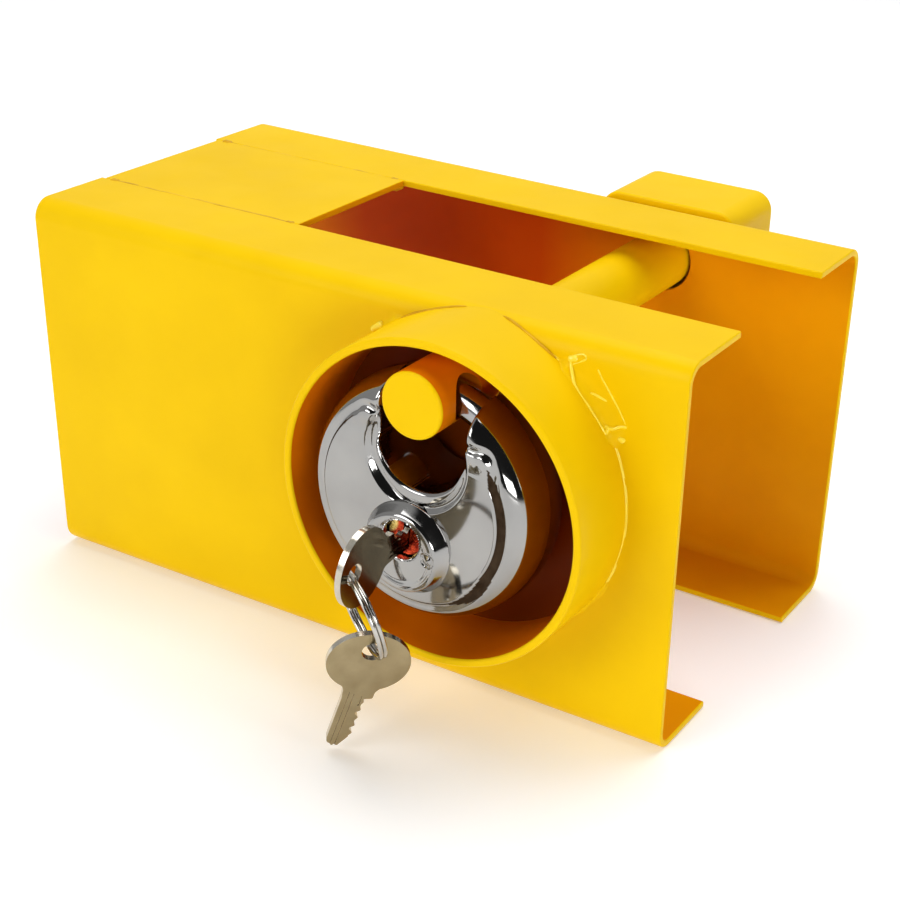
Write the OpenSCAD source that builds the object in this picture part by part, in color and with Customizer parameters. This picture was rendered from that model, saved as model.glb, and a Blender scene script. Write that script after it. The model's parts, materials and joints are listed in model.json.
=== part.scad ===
// Trailer coupler lock: a welded steel housing slides over the coupler, a cross pin goes
// through it, and a disc padlock inside a round shroud holds the pin in.
// Millimetres. +X is the open end that goes over the coupler, -Y the padlock side, +Z up.

/* [Housing] */
// Length of the two bent channels
housing_l = 218; // [180:1:260]
// Width over both channels
housing_w = 113; // [104:1:130]
// Height of the channels
housing_h = 115.4; // [114:0.2:125]
// Thickness of the channel steel
plate_t = 2; // [1.5:0.1:3]
// Outer bend radius of the channels
bend_r = 6; // [4:0.5:8]
// Width of the top flanges, over the bend
top_flange_w = 29.5; // [24:0.5:34]
// Width of the bottom flanges, over the bend
bottom_flange_w = 28.5; // [24:0.5:34]
// Length of the top plate that joins the channels at the rear
top_plate_l = 74.6; // [60:0.2:90]
// Step from the channels' rear end to the top plate
top_plate_inset = 1.3; // [0:0.1:4]
// Width of the weld beads
weld_w = 4; // [3:0.5:5]

/* [Shroud] */
// Inner diameter of the shroud tube
shroud_id = 88.2; // [84:0.2:90]
// Wall of the shroud tube
shroud_t = 2.4; // [2:0.1:3]
// How far the shroud stands out from the side
shroud_out = 24.2; // [22:0.2:26]
// Shroud axis from the rear end
shroud_x = 156.6; // [150:0.2:160]
// Shroud axis above the rest plane
shroud_z = 68.8; // [66:0.2:68.8]

/* [Pin] */
// Diameter of the lock pin
pin_d = 18.4; // [17:0.1:19]
// Pin axis from the rear end
pin_x = 154.2; // [152:0.2:157]
// Pin axis above the rest plane
pin_z = 98.4; // [96:0.2:99]
// How far the pin's near end stands out from the side
pin_out = 27.5; // [27:0.1:28]
// Diameter of the cross hole that takes the shackle
cross_hole_d = 12.4; // [12.4:0.1:12.8]
// Cross hole axis from the pin's near end
cross_hole_y = 13; // [12.5:0.1:13.5]
// Width of the box-shaped pin head
head_w = 46; // [40:1:50]
// Height of the pin head
head_h = 35; // [32:1:36]
// How far the pin head stands out from the far side
head_out = 29; // [25:0.5:34]
// Wall of the pin head
head_t = 3; // [2.5:0.5:4]

/* [Padlock] */
// Diameter of the disc padlock
disc_d = 70; // [70:0.5:71]
// Thickness of the padlock between its flat faces
disc_t = 25; // [24.6:0.1:25]
// Thickness of the stamped shells
shell_t = 1.2; // [1:0.1:1.2]
// Half width of the notch
notch_r = 13.2; // [13:0.1:13.4]
// Centre of the notch's round end above the disc's centre
notch_z = 17.8; // [17.6:0.1:18.2]
// Diameter of the shackle bar
shackle_d = 9; // [8.6:0.1:9]
// Radius of the shackle's arc
shackle_r = 28.8; // [28.6:0.1:28.8]
// How far the shackle turns to open
shackle_open = 64; // [60:1:66]
// Lean of the padlock on the pin
pad_tilt = 6; // [4:0.5:7]
// Plug axis below the disc's centre
plug_drop = 8.4; // [8:0.1:9]
// Diameter of the plug
plug_d = 10.6; // [10.4:0.1:10.6]
// Centre of the round boss below the disc's centre
boss_drop = 12.4; // [12:0.1:13]
// How far the boss stands out
boss_out = 4.2; // [3.5:0.1:5]
// Shackle turn for one turn of the key
drive_ratio = 0.65; // [0.63:0.01:0.66]

/* [Keys] */
// Thickness of the keys
key_t = 1.8; // [1.6:0.1:2.2]
// Width of the bow
bow_w = 22.6; // [20:0.2:23]
// Length of the bow
bow_l = 20.4; // [18:0.2:21]
// Diameter of the hole in the bow
bow_hole_d = 6; // [6:0.1:6.2]
// Width of the blade
blade_w = 7; // [6:0.1:7]
// Radius of the key ring's wire circle
ring_r = 12.4; // [11.5:0.1:12.6]
// Diameter of the key ring's wire
ring_wire_d = 1.3; // [1:0.1:1.4]
// Lean of the key ring back towards the shroud
ring_lean = 16.6; // [14:0.2:20]
// Sideways lean of the key ring
ring_side = 3; // [0:1:5]
// Turn of the key ring's plane about the vertical
ring_turn = -33; // [-38:1:-28]

/* [Hidden] */

$fn = 96;
eps = 0.01;
gap = 0.3;                                   // room between bodies that move apart
near_y = -housing_w / 2;                     // outer face of the near side
far_y = housing_w / 2;
near_hole_d = pin_d + 1.2;
far_hole_d = pin_d + 2;
pin_end_y = near_y - pin_out;
head_end_y = far_y + gap + head_out;
pad_y = pin_end_y + cross_hole_y;            // middle plane of the padlock

// The padlock hangs straight below the pin and leans, so the pin is left of the notch's middle.
pad_x = pin_x;
pad_z = pin_z - shackle_r + 0.2;

// Padlock, in its own frame: origin at the disc's centre, -Y its front.
disc_r = disc_d / 2;
face_y = disc_t / 2;
shoulder = 6.5;                              // width of the rounded shoulder
channel_r = shackle_r - shackle_d / 2 - 0.4; // inside of the shackle's channel
channel_y = shackle_d / 2 + 0.35;            // half width of the channel
slack = 0.1;                                 // room round the cores
shackle_tip = -34.5;                         // ends of the bar, degrees from the top
shackle_tail = 225;
boss_base_r = 13.3;
boss_face_r = 11.2;
keyhole_r = 5.75;
recess = 3;                                  // plug face behind the boss face
plug_front = -face_y - boss_out + recess;
plug_r = plug_d / 2;
bore_r = plug_r + 0.05;
keyway_w = key_t + 0.4;
keyway_h = blade_w + 0.6;
keyway_end = -1.7;
body_r = 8.2;                                // cylinder housing
chamber_w = 7;
chamber_l = 12.7;                            // chamber's floor below the plug axis
pin_count = 4;
tumbler_d = 2.4;
tumbler_pitch = 2.2;
tumbler_y = -10;                             // first tumbler pin
cam_y = 0.3;
cam_t = 3.2;
finger_r = 1.6;
finger_reach = shackle_r - shackle_d / 2 - 1.1 - plug_drop; // plug axis to finger tip centre
finger_step = 46;
key_turn = shackle_open / drive_ratio;

// Keys, hanging from their hole along -Z with the face towards -Y.
hole_to_bow = 4.2;                           // hole centre to bow centre
bow_end = hole_to_bow + bow_l / 2;
neck_back = 3.9;                             // plain side of the neck, nearly in line with the blade
neck_stop = 4.7;                             // stepped side, the key's shoulder stop
neck_l = 2.6;
blade_l = 18.9;
key_in_y = -37.9;                            // hole of the inserted key in the padlock frame
ring_drop = 1;                               // wire centre below the hole's centre
ring_out = 0.75;                             // ring's top, out from the inserted key's hole centre
ring_gap = 0.6;                              // half the pitch of the ring's two turns
spare_turn = 42;
spare_pitch = 12.4;
spare_lean = 15.3;

key_hole_x = pad_x - plug_drop * sin(pad_tilt);
key_hole_z = pad_z - plug_drop * cos(pad_tilt);
ring_dir = [sin(ring_side) * cos(ring_lean), sin(ring_lean), -cos(ring_side) * cos(ring_lean)];
key_hole = [key_hole_x, pad_y + key_in_y, key_hole_z];
ring_top = key_hole - [0, ring_out, 0];
spare_hole = ring_top + ring_dir * 2 * (ring_r + ring_drop);

// The row's origin is below the middle of the whole object's outline.
bow_tip_y = pad_y + key_in_y + hole_to_bow - bow_l / 2;
row_y = -(bow_tip_y + head_end_y) / 2;

module in_row() { translate([-housing_l / 2, row_y, 0]) children(); }
module in_padlock() {
    in_row() translate([pad_x, pad_y, pad_z]) rotate([0, pad_tilt, 0]) children();
}
// A round bar along Y, from y0 to y1.
module bar_y(r, y0, y1) { translate([0, y0, 0]) rotate([-90, 0, 0]) cylinder(r = r, h = y1 - y0); }
module at_plug() { translate([0, 0, -plug_drop]) children(); }
// A ring about the Y axis from an outline drawn as [radius, -y].
module turned_y() { rotate([90, 0, 0]) rotate_extrude() children(); }

// ---- Housing ----

// Rectangle with round corners, from true arcs.
module round_rect(w, h, r) {
    square([w - 2 * r, h], center = true);
    square([w, h - 2 * r], center = true);
    for (sx = [-1, 1], sy = [-1, 1])
        translate([sx * (w / 2 - r), sy * (h / 2 - r)]) circle(r);
}
// The channels' outer outline, swept along the length.
module housing_envelope(inset) {
    translate([-1, 0, housing_h / 2]) rotate([90, 0, 90])
        linear_extrude(housing_l + 2)
            round_rect(housing_w - 2 * inset, housing_h - 2 * inset, bend_r - inset);
}
// One channel: the near one, or the far one when side is 1.
module channel(side, hole_d) {
    difference() {
        intersection() {
            housing_envelope(0);
            translate([0, side > 0 ? 0 : -far_y, 0]) cube([housing_l, far_y, housing_h]);
        }
        housing_envelope(plate_t);
        // cut back to the flange edges
        translate([-1, -(far_y - top_flange_w), housing_h / 2])
            cube([housing_l + 2, 2 * (far_y - top_flange_w), housing_h]);
        translate([-1, -(far_y - bottom_flange_w), -housing_h / 2])
            cube([housing_l + 2, 2 * (far_y - bottom_flange_w), housing_h]);
        translate([pin_x, 0, pin_z]) bar_y(hole_d / 2, min(0, side * housing_w),
            max(0, side * housing_w));
    }
}
module near_channel() { color("gold") in_row() channel(-1, near_hole_d); }
module far_channel() { color("gold") in_row() channel(1, far_hole_d); }
module top_plate() {
    w = housing_w - 2 * top_flange_w;
    color("gold") in_row() translate([top_plate_inset, -w / 2, housing_h - plate_t])
        cube([top_plate_l, w, plate_t]);
}
// A low crowned bead along X on a flat face.
module seam_bead(length, width, height) {
    r = (width * width / 4 + height * height) / (2 * height);
    intersection() {
        translate([0, 0, height - r]) rotate([0, 90, 0]) cylinder(r = r, h = length);
        translate([0, -width, 0]) cube([length, 2 * width, height]);
    }
}
module seam_weld(side) {
    color("goldenrod") in_row()
        translate([top_plate_inset, side * (far_y - top_flange_w), housing_h])
            seam_bead(top_plate_l, weld_w * 0.8, 0.5);
}
module near_seam_weld() { seam_weld(-1); }
module far_seam_weld() { seam_weld(1); }

// Tube coped to the side and to the top bend.
module shroud_tube() {
    out_r = shroud_id / 2 + shroud_t;
    color("gold") in_row() difference() {
        translate([shroud_x, 0, shroud_z]) bar_y(out_r, near_y - shroud_out, near_y + bend_r);
        translate([shroud_x, 0, shroud_z])
            bar_y(shroud_id / 2, near_y - shroud_out - 1, near_y + bend_r + 1);
        housing_envelope(0);
    }
}
// Fillet round the foot of the shroud, up to where the bend begins.
module shroud_weld() {
    out_r = shroud_id / 2 + shroud_t;
    color("goldenrod") in_row() difference() {
        translate([shroud_x, near_y, shroud_z]) turned_y()
            polygon([[out_r, 0], [out_r + weld_w, 0], [out_r + weld_w * 0.6, weld_w * 0.6],
                [out_r, weld_w]]);
        translate([0, near_y - weld_w - 1, housing_h - bend_r])
            cube([housing_l, weld_w + 2, housing_h]);
    }
}

// ---- Pin assembly ----

module lock_pin() {
    chamfer = 0.6;
    color("gold") in_row() translate([pin_x, 0, pin_z]) difference() {
        union() {
            bar_y(pin_d / 2, pin_end_y + chamfer, head_end_y - head_t);
            translate([0, pin_end_y, 0]) rotate([-90, 0, 0])
                cylinder(r1 = pin_d / 2 - chamfer, r2 = pin_d / 2, h = chamfer);
        }
        translate([-pin_d, pad_y, 0]) rotate([0, 90, 0]) cylinder(d = cross_hole_d, h = 2 * pin_d);
    }
}
module at_head() {
    translate([pin_x, far_y + gap, pin_z]) rotate([-90, 0, 0]) children();
}
head_corner = 6;
module head_tube() {
    color("gold") in_row() at_head() difference() {
        linear_extrude(head_out) round_rect(head_w, head_h, head_corner);
        translate([0, 0, -1]) linear_extrude(head_out + 2)
            round_rect(head_w - 2 * head_t, head_h - 2 * head_t, head_corner - head_t);
    }
}
module head_cap() {
    color("gold") in_row() at_head() translate([0, 0, head_out - head_t]) linear_extrude(head_t)
        round_rect(head_w - 2 * head_t, head_h - 2 * head_t, head_corner - head_t);
}
// Fillet where the pin meets the inside of the cap.
module head_weld() {
    color("goldenrod") in_row() translate([pin_x, head_end_y - head_t, pin_z]) turned_y()
        polygon([[pin_d / 2, 0], [pin_d / 2 + weld_w, 0], [pin_d / 2, weld_w]]);
}

// ---- Padlock body ----

// Half of the disc's outline, as [radius, depth], for a skin inset by t.
function half_disc(t, steps = 12) = concat([[0, 0], [disc_r - t, 0]],
    [for (i = [1:steps]) let(a = 90 * i / steps)
        [disc_r - shoulder + (shoulder - t) * cos(a), (face_y - t) * sin(a)]],
    [[0, face_y - t]]);
module half_body(t) { turned_y() polygon(half_disc(t)); }
// The notch, wider by t.
module notch(t) {
    r = notch_r + t;
    translate([0, 0, notch_z]) {
        bar_y(r, -disc_t, disc_t);
        translate([-r, -disc_t, 0]) cube([2 * r, 2 * disc_t, disc_d]);
    }
}
module shackle_way(r) { turned_y() translate([shackle_r, 0]) circle(r); }
// Front half of the shells: a stamped cup whose notch is turned in to a wall.
module shell_half() {
    difference() {
        half_body(0);
        notch(0);
        difference() {
            translate([0, eps, 0]) half_body(shell_t);
            notch(shell_t);
        }
        shackle_way(shackle_d / 2 + 0.35);
    }
}
module front_shell() {
    color("silver") in_padlock() difference() {
        shell_half();
        at_plug() bar_y(keyhole_r, -disc_t, 0);
    }
}
module rear_shell() { color("silver") in_padlock() mirror([0, 1, 0]) shell_half(); }

// Front half of the castings between the shells, with the shackle's channel cut away.
module core_half() {
    difference() {
        half_body(shell_t + slack);
        notch(shell_t + slack);
        turned_y() translate([channel_r, -1]) square([disc_r, channel_y + 1]);
    }
}
module cylinder_body(grow) {
    at_plug() {
        bar_y(body_r + grow, -face_y + shell_t + slack, 0);
        translate([-chamber_w / 2 - grow, -face_y + shell_t + slack, -chamber_l - grow])
            cube([chamber_w + 2 * grow, face_y - shell_t - slack, chamber_l + grow]);
    }
}
cover_t = 1;
module front_core() {
    color("darkgray") in_padlock() difference() {
        core_half();
        translate([0, -eps, 0]) cylinder_body(0.05);
        translate([0, 2 * eps, 0]) cylinder_body(0.05);
        at_plug() translate([-chamber_w / 2 - 0.05, -face_y, -chamber_l - cover_t - 0.05])
            cube([chamber_w + 0.1, disc_t, chamber_l]);
    }
}
module rear_core() {
    color("darkgray") in_padlock() difference() {
        mirror([0, 1, 0]) core_half();
        difference() {
            at_plug() bar_y(finger_reach + finger_r + 0.6, -1, cam_y + cam_t + 0.4);
            translate([-disc_r, -2, notch_z - notch_r - shell_t - 1]) cube(disc_d);
        }
        at_plug() bar_y(4, -1, cam_y + cam_t + 2.2);
    }
}
module lock_boss() {
    color("silver") in_padlock() difference() {
        translate([0, -face_y, -boss_drop]) turned_y()
            polygon(concat([[0, 0], [boss_base_r, 0]],
                [for (a = [15:15:75]) [boss_face_r + (boss_base_r - boss_face_r) * cos(a),
                    boss_out * sin(a)]],
                [[boss_face_r, boss_out], [0, boss_out]]));
        at_plug() bar_y(keyhole_r, -disc_t, 0);
    }
}
function tumbler_at(i) = tumbler_y + i * tumbler_pitch;
module cylinder_housing() {
    color("darkgoldenrod") in_padlock() difference() {
        cylinder_body(0);
        at_plug() bar_y(bore_r, -disc_t, 1);
        at_plug() for (i = [0:pin_count - 1])
            translate([0, tumbler_at(i), -chamber_l - 1]) cylinder(d = tumbler_d + 0.2, h = chamber_l);
    }
}
module chamber_cover() {
    color("dimgray") in_padlock() at_plug()
        translate([-chamber_w / 2, -face_y + shell_t + slack, -chamber_l - cover_t])
            cube([chamber_w, face_y - shell_t - slack, cover_t]);
}
driver_l = 3;
driver_top = plug_r + 0.15;
module driver_pins() {
    color("gold") in_padlock() at_plug() for (i = [0:pin_count - 1])
        translate([0, tumbler_at(i), -driver_top - driver_l]) cylinder(d = tumbler_d, h = driver_l);
}
// A coil spring standing on z = 0, swept as one closed skin.
module coil(r, wire_r, height, turns) {
    sides = 6;
    steps = 14 * turns;
    ring = [for (i = [0:steps], j = [0:sides - 1])
        let(a = 360 * turns * i / steps, b = 360 * j / sides, q = r + wire_r * cos(b))
        [q * cos(a), q * sin(a), wire_r + (height - 2 * wire_r) * i / steps + wire_r * sin(b)]];
    skin = [for (i = [0:steps - 1], j = [0:sides - 1])
        let(k = (j + 1) % sides, a = i * sides)
        [a + j, a + sides + j, a + sides + k, a + k]];
    ends = [[for (j = [0:sides - 1]) j], [for (j = [sides - 1:-1:0]) steps * sides + j]];
    polyhedron(ring, concat(skin, ends), convexity = 4);
}
spring_top = driver_top + driver_l + 0.05;
module pin_springs() {
    color("lightgray") in_padlock() at_plug() for (i = [0:pin_count - 1])
        translate([0, tumbler_at(i), -chamber_l + 0.05])
            coil(0.9, 0.2, chamber_l - spring_top - 0.05, 4);
}

// ---- Shackle ----

// A bar bent round the disc's axis, from angle a0 to a1 degrees right of the top.
module bent_bar(a0, a1) {
    rotate([0, a0, 0]) rotate([0, -90, 0]) rotate([90, 0, 0])
        rotate_extrude(angle = -(a1 - a0)) translate([shackle_r, 0]) circle(d = shackle_d);
}
module shackle() {
    mid = shackle_open / 2;
    color("gainsboro") in_padlock() difference() {
        bent_bar(shackle_tip, shackle_tail);
        for (i = [-1:1])
            rotate([0, 180 - mid + i * finger_step * drive_ratio, 0])
                translate([0, 0, finger_reach + plug_drop]) bar_y(finger_r + 0.75, -disc_t, disc_t);
    }
}

// ---- Plug ----

module plug() {
    color("goldenrod") in_padlock() at_plug() difference() {
        bar_y(plug_r, plug_front, cam_y);
        translate([-keyway_w / 2, plug_front - 1, -keyway_h / 2])
            cube([keyway_w, keyway_end - plug_front + 1, keyway_h]);
        for (i = [0:pin_count - 1])
            translate([0, tumbler_at(i), -plug_r - 1]) cylinder(d = tumbler_d + 0.1, h = plug_r + 1);
        bar_y(1.25, -1.1, 1);
    }
}
module key_pins() {
    color("gold") in_padlock() at_plug() for (i = [0:pin_count - 1])
        translate([0, tumbler_at(i), -plug_r + 0.2])
            cylinder(d = tumbler_d, h = plug_r - 0.2 - keyway_h / 2 + 0.02);
}
module drive_cam() {
    color("slategray") in_padlock() at_plug() rotate([0, -key_turn / 2, 0]) difference() {
        union() {
            bar_y(5, cam_y, cam_y + cam_t);
            for (i = [-1:1]) rotate([0, i * finger_step, 0]) {
                translate([-finger_r, cam_y, -finger_reach])
                    cube([2 * finger_r, cam_t, finger_reach]);
                translate([0, 0, -finger_reach]) bar_y(finger_r, cam_y, cam_y + cam_t);
            }
        }
        bar_y(1.25, -1, disc_t);
    }
}
module cam_screw() {
    color("dimgray") in_padlock() at_plug() {
        bar_y(1.25, -1.1, cam_y + cam_t + eps);
        difference() {
            bar_y(3, cam_y + cam_t, cam_y + cam_t + 1.6);
            translate([-0.4, cam_y + cam_t + 0.8, -4]) cube([0.8, 2, 8]);
        }
    }
}

// ---- Keys and ring ----

// Edge of the blade: how far each cut goes in, shoulder first.
cuts = [0.6, 1.7, 1.1, 2.1, 0.9];
module key_outline() {
    pitch = (blade_l - 4) / len(cuts);
    z0 = -bow_end - neck_l;
    polygon([for (a = [0:6:354]) [bow_w / 2 * cos(a), -hole_to_bow + bow_l / 2 * sin(a)]]);
    translate([-neck_back, z0]) square([neck_back + neck_stop, neck_l + 2]);
    polygon(concat(
        [[-blade_w / 2, z0 + eps], [-blade_w / 2, z0 - blade_l + 2],
            [-blade_w / 2 + 2, z0 - blade_l], [blade_w / 2 - 3, z0 - blade_l]],
        [for (i = [len(cuts) - 1:-1:0]) each [
            [blade_w / 2 - cuts[i], z0 - (i + 1.15) * pitch + 0.5],
            [blade_w / 2 - cuts[i], z0 - (i + 0.75) * pitch - 0.2],
            [blade_w / 2 - 0.2, z0 - (i + 0.45) * pitch]]],
        [[blade_w / 2, z0 + eps]]));
}
module key_blank() {
    groove_w = 1.6;
    difference() {
        translate([0, key_t / 2, 0]) rotate([90, 0, 0]) linear_extrude(key_t) key_outline();
        bar_y(bow_hole_d / 2, -key_t, key_t);
        for (s = [-1, 1])
            translate([s * 1.2 - groove_w / 2, s > 0 ? key_t / 2 - 0.6 : -key_t / 2 - 0.4,
                -bow_end - neck_l - blade_l - 1])
                cube([groove_w, 1, blade_l + neck_l]);
    }
}
module inserted_key() {
    color("tan") in_padlock() at_plug() translate([0, key_in_y, 0])
        rotate([90, 0, 0]) rotate([0, 0, 90]) key_blank();
}
module key_ring() {
    color("silver") in_row() translate(ring_top) rotate([ring_lean, -ring_side, 0])
        translate([0, 0, -ring_r - ring_drop]) rotate([0, 0, ring_turn]) turned_y()
            for (s = [-1, 1]) translate([ring_r, s * ring_gap]) circle(d = ring_wire_d);
}
module spare_key() {
    color("tan") in_row() translate(spare_hole) rotate([0, 0, spare_turn])
        rotate([spare_pitch, 0, 0]) rotate([0, spare_lean, 0]) key_blank();
}

near_channel();
far_channel();
top_plate();
near_seam_weld();
far_seam_weld();
shroud_tube();
shroud_weld();
lock_pin();
head_tube();
head_cap();
head_weld();
front_shell();
rear_shell();
front_core();
rear_core();
lock_boss();
cylinder_housing();
chamber_cover();
driver_pins();
pin_springs();
shackle();
plug();
key_pins();
drive_cam();
cam_screw();
inserted_key();
key_ring();
spare_key();
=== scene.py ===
"""Looks of the trailer coupler lock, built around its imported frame.

Lengths are in metres. A name that ends in _mm or _MM is in millimetres, and so are the sections
that say so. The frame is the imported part's: +X is the open end, -Y the padlock side, +Z up.
"""
import json
import math

import bmesh
import bpy
from mathutils import Matrix, Vector, noise


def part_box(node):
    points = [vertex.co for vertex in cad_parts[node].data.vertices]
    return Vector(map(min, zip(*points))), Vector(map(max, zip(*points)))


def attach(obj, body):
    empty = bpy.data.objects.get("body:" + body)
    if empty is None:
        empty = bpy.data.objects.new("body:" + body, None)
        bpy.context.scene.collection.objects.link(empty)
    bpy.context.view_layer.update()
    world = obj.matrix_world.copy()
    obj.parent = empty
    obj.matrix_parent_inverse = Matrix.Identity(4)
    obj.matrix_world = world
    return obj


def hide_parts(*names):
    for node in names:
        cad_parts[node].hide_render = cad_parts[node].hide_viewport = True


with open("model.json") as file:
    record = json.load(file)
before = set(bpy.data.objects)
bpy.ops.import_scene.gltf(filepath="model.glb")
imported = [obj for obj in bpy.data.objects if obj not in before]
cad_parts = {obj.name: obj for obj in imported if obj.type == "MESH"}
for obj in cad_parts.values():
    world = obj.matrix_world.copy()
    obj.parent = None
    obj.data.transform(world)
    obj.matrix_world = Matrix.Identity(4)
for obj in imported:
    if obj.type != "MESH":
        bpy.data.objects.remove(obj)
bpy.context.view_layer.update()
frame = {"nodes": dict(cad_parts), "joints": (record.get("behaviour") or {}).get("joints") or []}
MM = 0.001


def joint(name):
    return next(j for j in frame["joints"] if j["name"] == name)


# ---- Places and sizes, from the frame ----

near_lo, near_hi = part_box("near_channel")
far_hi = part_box("far_channel")[1]
plate_lo, plate_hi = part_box("top_plate")
tube_lo, tube_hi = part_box("shroud_tube")
pin_lo, pin_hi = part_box("lock_pin")
head_lo, head_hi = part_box("head_tube")
cap_lo, cap_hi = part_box("head_cap")

SHEET = plate_hi.z - plate_lo.z
BEND_R = 6 * MM
BOTTOM_STEP = 1 * MM            # the bottom flanges are this much narrower than the top ones
SHROUD_WALL = 2.4 * MM
shroud_r = (tube_hi.x - tube_lo.x) / 2
shroud_x = (tube_lo.x + tube_hi.x) / 2
shroud_z = tube_lo.z + shroud_r
rim_y = tube_lo.y
pin_r = (pin_hi.x - pin_lo.x) / 2
pin_x = (pin_lo.x + pin_hi.x) / 2
pin_z = (pin_lo.z + pin_hi.z) / 2
CROSS_HOLE_R = 6.2 * MM

disc_o = Vector(joint("shackle_turn")["pos_m"])
plug_k = Vector(joint("key_turn")["pos_m"])
swing = Vector(joint("padlock_swing")["pos_m"])
key_hole = Vector(joint("ring_swing")["pos_m"])
ring_wire = Vector(joint("spare_swing")["pos_m"])
ring_tangent = Vector(joint("spare_swing")["axis"]).normalized()
PAD_TILT = math.radians(6)      # the padlock hangs a little askew
pad_frame = Matrix.Translation(disc_o) @ Matrix.Rotation(PAD_TILT, 4, "Y")
PLUG_DROP_MM = (disc_o - plug_k).length / MM


# ---- Materials ----

class Shader:
    """A material with one Principled shader and short calls for the nodes that feed it."""

    def __init__(self, name, roughness, metallic=0.0, **sockets):
        self.material = bpy.data.materials.new(name)
        self.material.use_nodes = True
        self.tree = self.material.node_tree
        self.bsdf = self.tree.nodes["Principled BSDF"]
        self.set(self.bsdf, Roughness=roughness, Metallic=metallic, **sockets)
        self.coords = self.tree.nodes.new("ShaderNodeTexCoord").outputs["Object"]

    def set(self, node, **sockets):
        for key, value in sockets.items():
            node.inputs[key.replace("_", " ")].default_value = value

    def link(self, output, node, socket):
        self.tree.links.new(output, node.inputs[socket])

    def noise(self, size_mm, detail, stretch=(1, 1, 1)):
        """Noise whose features are about size_mm, stretched along the axes."""
        mapping = self.tree.nodes.new("ShaderNodeMapping")
        mapping.inputs["Scale"].default_value = [1 / s for s in stretch]
        self.link(self.coords, mapping, "Vector")
        node = self.tree.nodes.new("ShaderNodeTexNoise")
        self.set(node, Scale=1 / (size_mm * MM), Detail=detail)
        self.link(mapping.outputs["Vector"], node, "Vector")
        return node.outputs["Fac"]

    def ramp(self, value, stops):
        node = self.tree.nodes.new("ShaderNodeValToRGB")
        ramp = node.color_ramp
        while len(ramp.elements) < len(stops):
            ramp.elements.new(0.5)
        for element, (place, colour) in zip(ramp.elements, stops):
            element.position = place
            element.color = (*colour, 1)
        self.link(value, node, "Fac")
        return node.outputs["Color"]

    def span(self, value, low, high, from_low=0.3, from_high=0.7):
        """value, with the stretch from from_low to from_high spread onto low to high."""
        node = self.tree.nodes.new("ShaderNodeMapRange")
        for i, number in enumerate((from_low, from_high, low, high)):
            node.inputs[i + 1].default_value = number
        self.link(value, node, 0)
        return node.outputs["Result"]

    def mix(self, value, a, b):
        """a where value is 0, b where it is 1."""
        node = self.tree.nodes.new("ShaderNodeMix")
        node.data_type = "RGBA"
        self.link(value, node, "Factor")
        self.tree.links.new(a, node.inputs[6])
        self.tree.links.new(b, node.inputs[7])
        return node.outputs[2]

    def reach(self, centre, keep=(1, 1, 1)):
        """Distance from centre, counted only along the kept axes."""
        node = self.tree.nodes.new("ShaderNodeMapping")
        self.set(node, Location=[-c * k for c, k in zip(centre, keep)], Scale=keep)
        self.link(self.coords, node, "Vector")
        length = self.tree.nodes.new("ShaderNodeVectorMath")
        length.operation = "LENGTH"
        self.link(node.outputs["Vector"], length, 0)
        return length.outputs["Value"]

    def colour(self, output):
        self.link(output, self.bsdf, "Base Color")
        return self

    def rough(self, output):
        self.link(output, self.bsdf, "Roughness")
        return self

    def bump(self, value, depth_mm):
        """Adds a bump; a second call is laid over the first."""
        node = self.tree.nodes.new("ShaderNodeBump")
        self.set(node, Distance=depth_mm * MM)
        self.link(value, node, "Height")
        socket = self.bsdf.inputs["Normal"]
        if socket.links:
            self.link(socket.links[0].from_socket, node, "Normal")
        self.tree.links.new(node.outputs["Normal"], socket)
        return self


YELLOW = ((0.79, 0.495, 0.001), (0.845, 0.54, 0.0014))
# The five tones below are painted shade: darker oranges, reds and browns of the one yellow paint, for its
# shaded insides and corners.
SHADE_ORANGE = ((0.74, 0.29, 0.0008), (0.80, 0.33, 0.0012))
SHADE_RUSSET = ((0.52, 0.062, 0.0006), (0.60, 0.082, 0.0009))
SHADE_CHESTNUT = ((0.74, 0.15, 0.0006), (0.82, 0.185, 0.0009))
SHADE_AMBER = ((0.74, 0.175, 0.0006), (0.80, 0.205, 0.0009))
SHADE_UMBER = ((0.20, 0.034, 0.0006), (0.26, 0.046, 0.0008))


def tones(s, size_mm, pair):
    """Soft patches of two close colours."""
    return s.ramp(s.noise(size_mm, 3), [(0.3, pair[0]), (0.7, pair[1])])


def enamel(name):
    """Thick semi-gloss enamel: a soft orange peel and slow waves. Its colour comes after."""
    s = Shader(name, 0.34, Specular_IOR_Level=0.05)
    s.rough(s.span(s.noise(14, 2), 0.3, 0.38))
    s.bump(s.noise(2.4, 1), 0.006).bump(s.noise(30, 0), 0.1)
    return s


def yellow_paint():
    s = enamel("yellow_paint")
    return s.colour(tones(s, 38, YELLOW)).material


def near_side_paint_and_shade():
    """Yellow, with painted shade: deep brown on the disc of this side that lies inside the shroud, which the
    shroud shades.
    """
    s = enamel("near_side_paint_and_shade")
    reach = s.reach((shroud_x, 0, shroud_z), (1, 0, 1))
    inner = shroud_r - SHROUD_WALL
    shaded = s.span(reach, 1, 0, inner, inner + 0.3 * MM)
    return s.colour(s.mix(shaded, tones(s, 38, YELLOW), tones(s, 30, SHADE_UMBER))).material


def inner_painted_shade():
    """Painted shade inside the box: the yellow paint coloured deep red round the plate's front edge and
    orange away from it.
    """
    s = enamel("inner_painted_shade")
    reach = s.reach((plate_hi.x, 0, 0), (1, 0, 0))
    past_pin = pin_x - plate_hi.x + 12 * MM
    lit = s.span(reach, 0, 1, 35 * MM, past_pin)
    return s.colour(s.mix(lit, tones(s, 30, SHADE_RUSSET), tones(s, 30, SHADE_ORANGE))).material


def shroud_painted_shade():
    """The shroud's inside, coloured deep orange-red as painted shade."""
    s = enamel("shroud_painted_shade")
    return s.colour(tones(s, 24, SHADE_CHESTNUT)).material


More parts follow.
